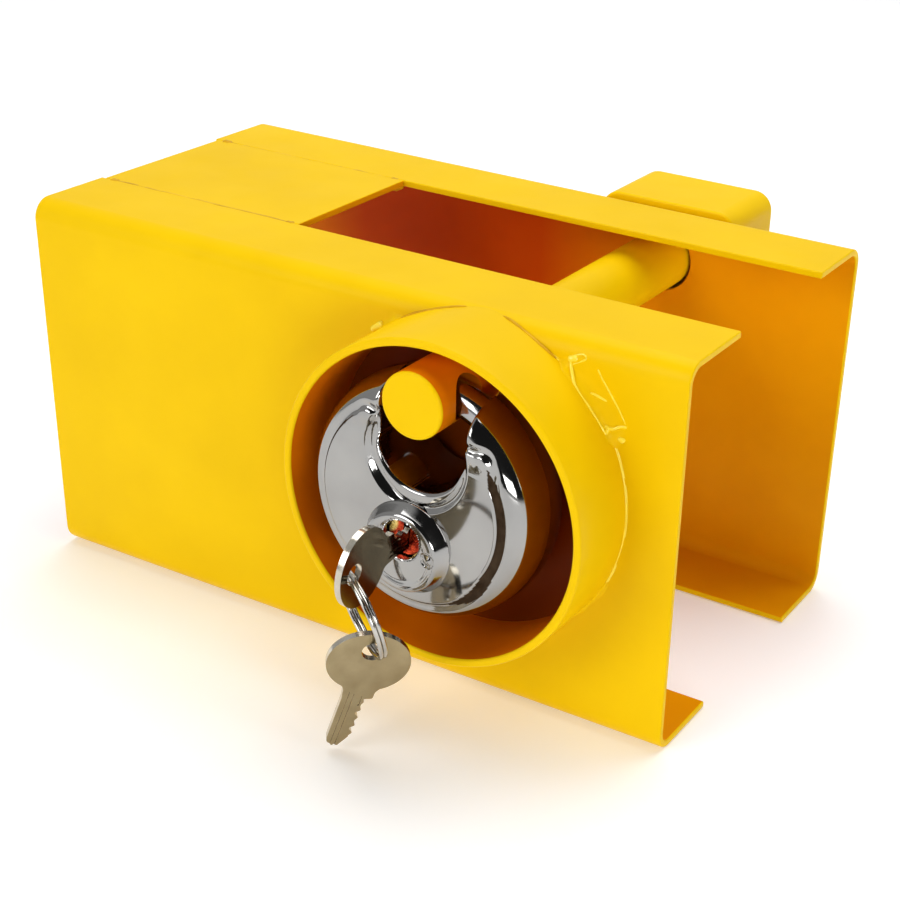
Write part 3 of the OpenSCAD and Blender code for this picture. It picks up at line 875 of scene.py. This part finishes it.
def half_disc(name, inset, pressed, material):
    """Half of the disc as a solid, from the middle plane to the front, plain or with its pressed detail."""
    face_r, rows, bands, segments = DISC_R - SHOULDER, 10, 8, 120
    if pressed:
        rows, bands, segments = 30, 96, 480
    rings = [face_r * (i + 1) / bands for i in range(bands)]
    profile = [(r, -(HALF_T - inset)) for r in rings]
    for i in range(1, rows + 1):
        a = math.radians(90 - 90 * i / rows)
        profile.append((face_r + (SHOULDER - inset) * math.cos(a), -(HALF_T - inset) * math.sin(a)))
    vertices = [Vector((0, -(HALF_T - inset), 0)), Vector((0, 0, 0))]
    for s in range(segments):
        a = 2 * math.pi * s / segments
        for r, y in profile:
            x, z = r * math.sin(a), r * math.cos(a)
            if pressed:
                y = min(y + sunk(x, z) * min(1, -y / 3), 0)
            vertices.append(Vector((x, y, z)))
    count, faces = len(profile), []
    for s in range(segments):
        t = (s + 1) % segments
        a, b = 2 + s * count, 2 + t * count
        faces.append((0, a, b))
        faces += [(a + i, a + i + 1, b + i + 1, b + i) for i in range(count - 1)]
        faces.append((1, b + count - 1, a + count - 1))
    return make(name, [v * MM for v in vertices], faces, material)


def notch_cutter(grow):
    """The notch as a solid, wider by grow all round and open at the top."""
    r = NOTCH_R + grow
    outline = [(r, 2 * DISC_R), (-r, 2 * DISC_R)] + arc(0, NOTCH_Z, r, 180, 360, 72)
    outline = [(x * MM, z * MM) for x, z in outline]
    return prism("notch", outline, 60 * MM, None)


def shackle_tunnel(r):
    """The bar's circle as a ring, to open the shells' ports with."""
    profile = [(p * MM, q * MM) for p, q in arc(SHACKLE_R, 0, r, 0, 360, 40)[:-1]]
    return lathe("tunnel", profile, None, 180)


def in_trough(place):
    """The trough's floor, where the painted dark reflection goes: wide at the right and dying out at the top,
    the bottom and the left.
    """
    x, y, z = place / MM
    top, at_front = 19, abs(y) > HALF_T - 6
    width = (0.2 + 2.3 * ease((x - 11) / 15)) * ease((top - z) / 6)
    return at_front and z < top and -0.3 < trough(x, z) < width and notch_distance(x, z) > ROLL


def keyhole_cutter():
    return bar_y("keyhole", KEYHOLE_R * MM, -25 * MM, 5 * MM, Matrix.Translation((0, 0, -PLUG_DROP_MM * MM)))


def shell(name, node, rear):
    """A stamped half: pressed outside, hollow inside, its notch turned in to a wall."""
    obj = half_disc(name, 0, True, STEEL)
    cut(obj, notch_cutter(0))
    hollow = half_disc("hollow", SHELL_WALL, False, None)
    hollow.data.transform(Matrix.Translation((0, 0.02 * MM, 0)))
    cut(hollow, notch_cutter(NOTCH_WALL))
    cut(obj, hollow)
    cut(obj, shackle_tunnel(PORT_R))
    if rear:
        obj.data.transform(Matrix.Diagonal((1, -1, 1, 1)))
        obj.data.flip_normals()
    else:
        cut(obj, keyhole_cutter())
    # Painted reflection: the trough's floor takes the dull dark tone.
    paint_shade_on(obj, SHADED_STEEL, in_trough)
    obj.data.transform(pad_frame)
    return keep(smooth(obj, 42), "padlock", "polished_steel", node)


def casting(name, node):
    """The CAD's casting with its face set back, so that it stays behind the shell's pressed detail."""
    source = frame["nodes"][node]
    mesh = source.data.copy()
    mesh.transform(pad_frame.inverted() @ source.matrix_world)
    for vertex in mesh.vertices:
        vertex.co.y = max(-CAST_FACE * MM, min(vertex.co.y, CAST_FACE * MM))
    mesh.transform(pad_frame)
    mesh.materials.clear()
    mesh.materials.append(CAST)
    obj = bpy.data.objects.new(name, mesh)
    bpy.context.scene.collection.objects.link(obj)
    return keep(obj, "padlock", "zinc_casting", node)


def boss():
    """The round boss: a dished face, a rolled keyhole and a small rivet."""
    spacing, dish_r, dish, edge_r = 0.4, 9.6, 0.35, 1.5
    profile = [(spacing * i, BOSS_OUT - dish * ease((dish_r - spacing * i) / 1.2)) for i in range(1, 25)]
    profile += [(9.9, BOSS_OUT - 0.06), (10.2, BOSS_OUT)]
    profile += [(BOSS_FACE_R - 1.0 + edge_r * math.sin(a), BOSS_OUT - edge_r * (1 - math.cos(a)))
                for a in (math.radians(9 * i) for i in range(8))]
    profile += [(BOSS_BASE_R - 0.75, 1.0), (BOSS_BASE_R - 0.25, 0.35), (BOSS_BASE_R, 0)]
    segments, count = 288, len(profile)
    vertices = [Vector((0, -HALF_T - BOSS_OUT + 0.35, BOSS_Z)), Vector((0, -HALF_T + 1, BOSS_Z))]
    drop = BOSS_Z + PLUG_DROP_MM
    for s in range(segments):
        a = 2 * math.pi * s / segments
        for r, out in profile:
            x, z = r * math.sin(a), r * math.cos(a)
            rim = math.hypot(x, z + drop) - KEYHOLE_R
            if 0 <= rim < KEYHOLE_ROLL:
                out -= KEYHOLE_ROLL - math.sqrt(KEYHOLE_ROLL ** 2 - (KEYHOLE_ROLL - rim) ** 2)
            rivet = math.hypot(x - RIVET_X, z - RIVET_Z)
            out += 0.55 * ease(1 - rivet / RIVET_R) - 0.35 * ease(1 - abs(rivet - 1.7) / 0.7)
            vertices.append(Vector((x, -HALF_T - out, z + BOSS_Z)))
        vertices.append(Vector((BOSS_BASE_R * math.sin(a), -HALF_T + 1, BOSS_BASE_R * math.cos(a) + BOSS_Z)))
    count += 1
    faces = []
    for s in range(segments):
        t = (s + 1) % segments
        a, b = 2 + s * count, 2 + t * count
        faces.append((0, a, b))
        faces += [(a + i, a + i + 1, b + i + 1, b + i) for i in range(count - 1)]
        faces.append((1, b + count - 1, a + count - 1))
    obj = make("keyhole_boss", [v * MM for v in vertices], faces, STEEL)
    cut(obj, keyhole_cutter())
    obj.data.transform(pad_frame)
    return keep(smooth(obj, 42), "padlock", "polished_steel", "lock_boss")


# ---- Keys and ring ----
# A key's own frame: it hangs from its hole along -z, its face towards -y, in millimetres.

KEY_T = 1.8
BOW_W = 22.6
BOW_L = 20.4
BOW_DROP = 4.2             # from the hole down to the bow's middle
HOLE_R = 3.0
NECK_BACK = 3.9            # the neck's half widths, on the plain side and on the stop's side
NECK_STOP = 4.7
NECK_L = 2.6
BLADE_W = 7.0
BLADE_L = 18.9
CUTS = (1.2, 1.9, 1.3, 1.9, 1.4)            # depths, from the stop to the tip
CREST = 0.75               # how far the crests between the cuts lie in from the blade's full width
NECK_Z = -BOW_DROP - BOW_L / 2 - NECK_L


def curve(p0, p1, p2):
    """Points between p0 and p2 on the curve that leans towards p1, without its ends."""
    points, steps = [], 7
    for i in range(1, steps):
        t = i / steps
        point = (a * (1 - t) ** 2 + 2 * b * t * (1 - t) + c * t * t for a, b, c in zip(p0, p1, p2))
        points.append(tuple(point))
    return points


def key_outline():
    """Oval bow that flows into the blade on its plain side and into the stop on the other."""
    join_angle = 30
    bow = [(BOW_W / 2 * math.cos(a), -BOW_DROP + BOW_L / 2 * math.sin(a))
           for a in (math.radians(-90 + join_angle + (360 - 2 * join_angle) * i / 96) for i in range(97))]
    w, z0 = BLADE_W / 2, NECK_Z
    pitch = (BLADE_L - 4) / len(CUTS)
    back = (-NECK_BACK, z0 + 0.9)
    left = [*curve(bow[-1], (-NECK_BACK, z0 + NECK_L + 0.9), back), back, (-w - 0.1, z0 - 0.8),
            (-w, z0 - BLADE_L + 2.6), (-w + 0.3, z0 - BLADE_L + 1.3)]
    tip = [(-w + 1.3, z0 - BLADE_L + 0.25), (-w + 2.1, z0 - BLADE_L), (w - 3.4, z0 - BLADE_L + 0.2)]
    right = []
    for i in reversed(range(len(CUTS))):
        low, crest, z = w - CUTS[i], w - CREST, z0 - i * pitch
        right += [(low, z - 1.2 * pitch + 0.4), (low, z - 0.85 * pitch), (crest - 0.1, z - 0.6 * pitch),
                  (crest, z - 0.5 * pitch), (crest - 0.1, z - 0.4 * pitch)]
    stop = [(w - CREST - 0.3, z0 - 0.35), (NECK_STOP - 0.6, z0),
            (NECK_STOP - 0.1, z0 + 0.25), (NECK_STOP, z0 + 0.8)]
    end = (NECK_STOP, z0 + NECK_L - 0.6)
    return [(x * MM, z * MM) for x, z in bow + left + tip + right + stop + [end]
            + curve(end, (NECK_STOP + 0.1, z0 + NECK_L + 0.4), bow[0])]


# Grooves on the face towards -y: middle, width, top below the bow and length.
GROOVES = ((-2.25, 0.7, 1.2, BLADE_L + 4), (-0.85, 0.6, 1.6, BLADE_L + 4), (1.55, 0.5, 2.2, 3.2))


def key(name, node, body, place, material):
    """A flat key with grooved faces and worn bright edges, put in its place."""
    obj = prism(name, key_outline(), KEY_T * MM, material)
    for sign in (-1, 1):
        for x, width, down, length in GROOVES:
            r, top = width / 2, NECK_Z + NECK_L - down
            ends = arc(0, 0, r, 0, 180, 8) + arc(0, -length, r, 180, 360, 8)
            outline = [((-sign * x + dx) * MM, (top + dz) * MM) for dx, dz in ends]
            offset = Matrix.Translation((0, sign * (KEY_T / 2 + 0.1) * MM, 0))
            cut(obj, prism("groove", outline, 0.9 * MM, None, offset))
    cut(obj, bar_y("hole", HOLE_R * MM, -5 * MM, 5 * MM, segments=64))
    round_edges(obj, 0.2 * MM, 2, 30)
    obj.data.materials.append(KEY_EDGE)
    for face in obj.data.polygons:
        across = abs(face.normal.y)
        if across < 0.8 and abs(face.center.y) > 0.3 * MM or across < 0.1:
            face.material_index = 1
    obj.data.transform(place)
    return keep(obj, body, "nickel_silver", node)


def inserted_place():
    """Laid back with the blade along +y, then rolled to stand in the padlock's upright plane."""
    lay = Matrix.Rotation(math.radians(90), 4, "X")
    roll = Matrix.Rotation(math.radians(90), 4, "Z")
    return Matrix.Translation(key_hole) @ Matrix.Rotation(PAD_TILT, 4, "Y") @ lay @ roll


RING_R = 12.4 * MM
RING_DROP = 1.0 * MM
RING_WIRE_R = 0.62 * MM
RING_GAP = 0.6 * MM
RING_START = 184           # degrees from the ring's front edge, by way of its bottom
RING_END = 896
CROSSING = (515, 50)       # where the wire passes from one turn to the other, and how far it takes
ring_top = key_hole - Vector((0, 0.75 * MM, 0))
ring_down = (ring_wire - ring_top).normalized()


def split_ring():
    """A double turn of wire that crosses over itself once."""
    centre = ring_top + ring_down * (RING_R + RING_DROP)
    axis = ring_tangent.cross(ring_down).normalized()
    wire = bpy.data.curves.new("split_ring", "CURVE")
    wire.dimensions = "3D"
    wire.bevel_depth = RING_WIRE_R
    wire.bevel_resolution = 5
    wire.use_fill_caps = True
    spline = wire.splines.new("POLY")
    count = 350
    spline.points.add(count)
    for i in range(count + 1):
        degrees = RING_START + (RING_END - RING_START) * i / count
        a = math.radians(degrees)
        shift = RING_GAP * (2 * ease((degrees - CROSSING[0]) / CROSSING[1]) - 1)
        point = centre + (ring_tangent * math.cos(a) + ring_down * math.sin(a)) * RING_R + axis * shift
        spline.points[i].co = (*point, 1)
    wire.materials.append(WIRE)
    obj = bpy.data.objects.new("split_ring", wire)
    bpy.context.scene.collection.objects.link(obj)
    depsgraph = bpy.context.evaluated_depsgraph_get()
    mesh = bpy.data.meshes.new_from_object(obj.evaluated_get(depsgraph))
    bpy.data.objects.remove(obj)
    ring = bpy.data.objects.new("split_ring", mesh)
    bpy.context.scene.collection.objects.link(ring)
    return keep(smooth(ring, 60), "ring", "nickel_wire", "key_ring")


SPARE_TURN, SPARE_PITCH, SPARE_LEAN = (math.radians(a) for a in (42, 12.4, 15.3))


def spare_place():
    """Hung from the ring's lowest point, turned and leaned."""
    hole = ring_top + ring_down * 2 * (RING_R + RING_DROP)
    turn = Matrix.Rotation(SPARE_TURN, 4, "Z") @ Matrix.Rotation(SPARE_PITCH, 4, "X")
    return Matrix.Translation(hole) @ turn @ Matrix.Rotation(SPARE_LEAN, 4, "Y")


# ---- The model ----

channel("near_side", "near_channel", -1)
channel("far_side", "far_channel", 1)
rear_top_plate()
seam_weld("near_seam", "near_seam_weld", plate_lo.y, 1.57 * MM, 2.0)
seam_weld("far_seam", "far_seam_weld", plate_hi.y, 1.46 * MM, 5.0)
shroud()
shroud_welds()
shroud_crevice_shade()
pin_bar()
head_box()
head_end()
head_fillet()
shell("front_shell_pressed", "front_shell", False)
shell("rear_shell_pressed", "rear_shell", True)
casting("front_casting", "front_core")
casting("rear_casting", "rear_core")
boss()
key("key_in_lock", "inserted_key", "key", inserted_place(), SHADED_KEY_METAL)
split_ring()
key("key_on_ring", "spare_key", "spare", spare_place(), KEY_METAL)

for node, material in NODE_MATERIALS.items():
    mesh = frame["nodes"][node].data
    mesh.materials.clear()
    mesh.materials.append(material)


# ---- Studio ----

DARK_SIDE = (0.75, -0.5, 0.45)  # the middle of the dark part of the room
DARK_FROM, DARK_ALL = 0.25, 0.6 # cosines of the angle from there at which the dark starts and is full
ROOM_LIGHT, DARK_LIGHT = 0.5, 0.02
LIGHTS_AIM = (0, 0, 0.05)


def floor():
    """A pale floor, a hair below the part's own base."""
    size, below = 6, 0.2 * MM
    corners = [(-size, -size, 0), (size, -size, 0), (size, size, 0), (-size, size, 0)]
    obj = make("floor", corners, [(0, 1, 2, 3)], pale_floor())
    obj.location.z = -below


def softbox(name, place, size, power):
    """A rectangular area light aimed at the part."""
    light = bpy.data.lights.new(name, "AREA")
    light.shape = "RECTANGLE"
    light.size, light.size_y = size
    light.energy = power
    obj = bpy.data.objects.new(name, light)
    obj.location = place
    obj.rotation_euler = (Vector(LIGHTS_AIM) - Vector(place)).to_track_quat("-Z", "Y").to_euler()
    bpy.context.scene.collection.objects.link(obj)


def studio():
    """Soft light from above and in front, and a dark side of the room for the metal to mirror."""
    scene = bpy.context.scene
    scene.view_settings.view_transform = "Standard"
    world = bpy.data.worlds.new("studio")
    world.use_nodes = True
    tree = world.node_tree
    direction = tree.nodes.new("ShaderNodeTexCoord").outputs["Generated"]
    facing = tree.nodes.new("ShaderNodeVectorMath")
    facing.operation = "DOT_PRODUCT"
    facing.inputs[1].default_value = Vector(DARK_SIDE).normalized()
    tree.links.new(direction, facing.inputs[0])
    ramp = tree.nodes.new("ShaderNodeMapRange")
    ramp.interpolation_type = "SMOOTHSTEP"
    for i, number in enumerate((DARK_FROM, DARK_ALL, ROOM_LIGHT, DARK_LIGHT)):
        ramp.inputs[i + 1].default_value = number
    tree.links.new(facing.outputs["Value"], ramp.inputs[0])
    background = tree.nodes["Background"]
    background.inputs["Color"].default_value = (1, 1, 1, 1)
    tree.links.new(ramp.outputs["Result"], background.inputs["Strength"])
    scene.world = world
    softbox("top_softbox", (0.05, 0.4, 1.3), (1.4, 1.2), 16)
    softbox("front_softbox", (-1.0, -2.6, 1.5), (1.8, 1.6), 44)
    softbox("side_strip", (1.3, -0.1, 0.75), (0.12, 1.0), 1.8)
    softbox("low_softbox", (1.35, -1.15, 0.28), (0.8, 0.35), 9)


CAMERA_PLACE = (0.272581, -0.403877, 0.280172)
CAMERA_AZIMUTH, CAMERA_ELEVATION, CAMERA_ROLL = (math.radians(a) for a in (29.045, 28.516, 2.572))
CAMERA_LENS_MM, CAMERA_SENSOR_MM = 69.93, 36
CAMERA_SHIFT = (-0.1102, 0.1026)


def camera():
    """The camera looks along -back; roll turns it about that line."""
    az, el, roll = CAMERA_AZIMUTH, CAMERA_ELEVATION, CAMERA_ROLL
    back = Vector((math.sin(az) * math.cos(el), -math.cos(az) * math.cos(el), math.sin(el)))
    level = Vector((0, 0, 1)).cross(back).normalized()
    upright = back.cross(level)
    right = math.cos(roll) * level + math.sin(roll) * upright
    up = back.cross(right)
    data = bpy.data.cameras.new("camera")
    data.sensor_width = CAMERA_SENSOR_MM
    data.lens = CAMERA_LENS_MM
    data.shift_x, data.shift_y = CAMERA_SHIFT
    data.clip_start, data.clip_end = 0.01, 50
    obj = bpy.data.objects.new("camera", data)
    obj.matrix_world = Matrix((
        (right.x, up.x, back.x, CAMERA_PLACE[0]),
        (right.y, up.y, back.y, CAMERA_PLACE[1]),
        (right.z, up.z, back.z, CAMERA_PLACE[2]),
        (0, 0, 0, 1)))
    bpy.context.scene.collection.objects.link(obj)
    bpy.context.scene.camera = obj


floor()
studio()
camera()
